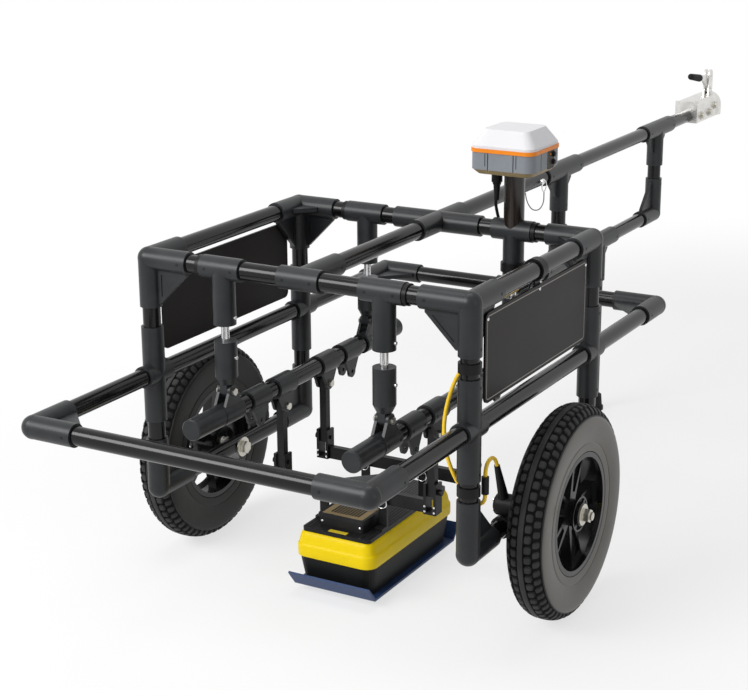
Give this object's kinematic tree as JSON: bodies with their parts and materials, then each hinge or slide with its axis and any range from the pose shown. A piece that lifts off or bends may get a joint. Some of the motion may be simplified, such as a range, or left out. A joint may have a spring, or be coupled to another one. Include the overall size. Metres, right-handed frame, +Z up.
{
  "type": "towed ground penetrating radar cart",
  "caption": "Towed two-wheel tube-frame cart that carries a yellow ground penetrating radar sensor on swing links, with a ball hitch, wheel odometer and a positioning receiver on a mast.",
  "frame": {"origin": "centre of the bounding box on the ground", "axes": "+X to the cart's right, +Y ahead towards the hitch, +Z up"},
  "size_m": [1.144, 3.2164, 1.0774],
  "materials": {
    "tube_black": "glossy black tube",
    "fitting_grey": "moulded dark grey",
    "panel_black": "satin black sheet",
    "clamp_black": "satin black",
    "rubber_black": "matte",
    "pin_steel": "bright steel",
    "coupler_zinc": "zinc plated",
    "bolt_zinc": "zinc plated",
    "tyre_rubber": "matte tread and sidewall",
    "rim_black": "moulded black",
    "encoder_black": "moulded black",
    "bar_black": "black anodised",
    "box_black": "satin black",
    "sensor_yellow": "moulded yellow",
    "sensor_black": "moulded black",
    "skid_blue": "blue sheet",
    "mast_brown": "dark brown tube",
    "receiver_grey": "moulded grey",
    "receiver_orange": "moulded orange",
    "receiver_white": "moulded white",
    "cable_yellow": "yellow jacket",
    "lead_black": "black jacket"
  },
  "bodies": {
    "frame": {"top_rails": "tube_black", "side_rails": "tube_black", "corner_posts": "tube_black", "tow_tube": "tube_black", "tongue_tubes": "tube_black", "landing_foot": "rubber_black", "corner_fittings": "fitting_grey", "post_crosses": "fitting_grey", "foot_elbows": "fitting_grey", "loop_elbows": "fitting_grey", "strut_tees": "fitting_grey", "tow_fittings": "fitting_grey", "tongue_fittings": "fitting_grey", "side_panels": "panel_black", "panel_clamps": "clamp_black", "pin_lanyard": "pin_steel", "coupler_plate": "coupler_zinc", "coupler_body": "coupler_zinc", "axle_bolts": "bolt_zinc", "axle_sleeves": "bolt_zinc", "axle_nuts": "bolt_zinc", "encoder_bracket": "bar_black", "encoder_body": "encoder_black", "drive_belt": "rubber_black", "odometer_cable": "cable_yellow", "cable_connectors": "encoder_black", "cable_straps": "clamp_black", "receiver_mast": "mast_brown", "receiver_housing": "receiver_grey", "receiver_band": "receiver_orange", "receiver_dome": "receiver_white", "receiver_lead": "lead_black"},
    "tow_pin": {"tow_pin": "pin_steel"},
    "latch_lever": {"coupler_lever": "coupler_zinc", "lever_grip": "rubber_black"},
    "left_wheel": {"left_tyre": "tyre_rubber", "left_rim": "rim_black", "left_bearings": "pin_steel"},
    "right_wheel": {"right_tyre": "tyre_rubber", "right_rim": "rim_black", "right_bearings": "pin_steel"},
    "encoder_shaft": {"encoder_pulley": "bolt_zinc"},
    "suspension": {"arm_tubes": "tube_black", "arm_caps": "fitting_grey", "arm_clevises": "fitting_grey", "clevis_bolts": "bolt_zinc", "strut_rods": "pin_steel", "strut_sleeves": "fitting_grey"},
    "rear_link_pair": {"rear_links": "bar_black"},
    "front_link_pair": {"front_links": "bar_black"},
    "sensor": {"cross_bars": "bar_black", "link_blocks": "bar_black", "pivot_pins": "clamp_black", "sensor_hangers": "bar_black", "ring_pins": "pin_steel", "sensor_deck": "bar_black", "electronics_box": "box_black", "sensor_shell": "sensor_yellow", "sensor_base": "sensor_black", "skid_plate": "skid_blue"}
  },
  "joints": [
    {"name": "left_wheel_spin", "type": "hinge", "parent": "frame", "child": "left_wheel", "pos_m": [-0.504, -0.822, 0.254], "axis": [1, 0, 0], "continuous": true},
    {"name": "right_wheel_spin", "type": "hinge", "parent": "frame", "child": "right_wheel", "pos_m": [0.504, -0.822, 0.254], "axis": [1, 0, 0], "continuous": true},
    {"name": "encoder_spin", "type": "hinge", "parent": "frame", "child": "encoder_shaft", "pos_m": [0.446, -0.9705, 0.3071], "axis": [1, 0, 0], "continuous": true},
    {"name": "height_adjust", "type": "slide", "parent": "frame", "child": "suspension", "axis": [0, 0, 1], "range_m": [-0.015, 0.03]},
    {"name": "rear_link_swing", "type": "hinge", "parent": "suspension", "child": "rear_link_pair", "pos_m": [0, -0.92, 0.427], "axis": [1, 0, 0], "range_deg": [-30, 30]},
    {"name": "front_link_swing", "type": "hinge", "parent": "suspension", "child": "front_link_pair", "pos_m": [0, -0.718, 0.427], "axis": [1, 0, 0], "range_deg": [-30, 30]},
    {"name": "sensor_level", "type": "hinge", "parent": "rear_link_pair", "child": "sensor", "pos_m": [0, -0.92, 0.281], "axis": [1, 0, 0], "range_deg": [-30, 30]},
    {"name": "latch_lever_lift", "type": "hinge", "parent": "frame", "child": "latch_lever", "pos_m": [0, 1.551, 0.892], "axis": [-1, 0, 0], "range_deg": [0, 70]},
    {"name": "tow_pin_pull", "type": "slide", "parent": "frame", "child": "tow_pin", "axis": [1, 0, 0], "range_m": [0, 0.06]}
  ],
  "couplings": [
    {"joint": "encoder_spin", "follows": "right_wheel_spin", "ratio": 3},
    {"joint": "front_link_swing", "follows": "rear_link_swing", "ratio": 1},
    {"joint": "sensor_level", "follows": "rear_link_swing", "ratio": -1}
  ]
}
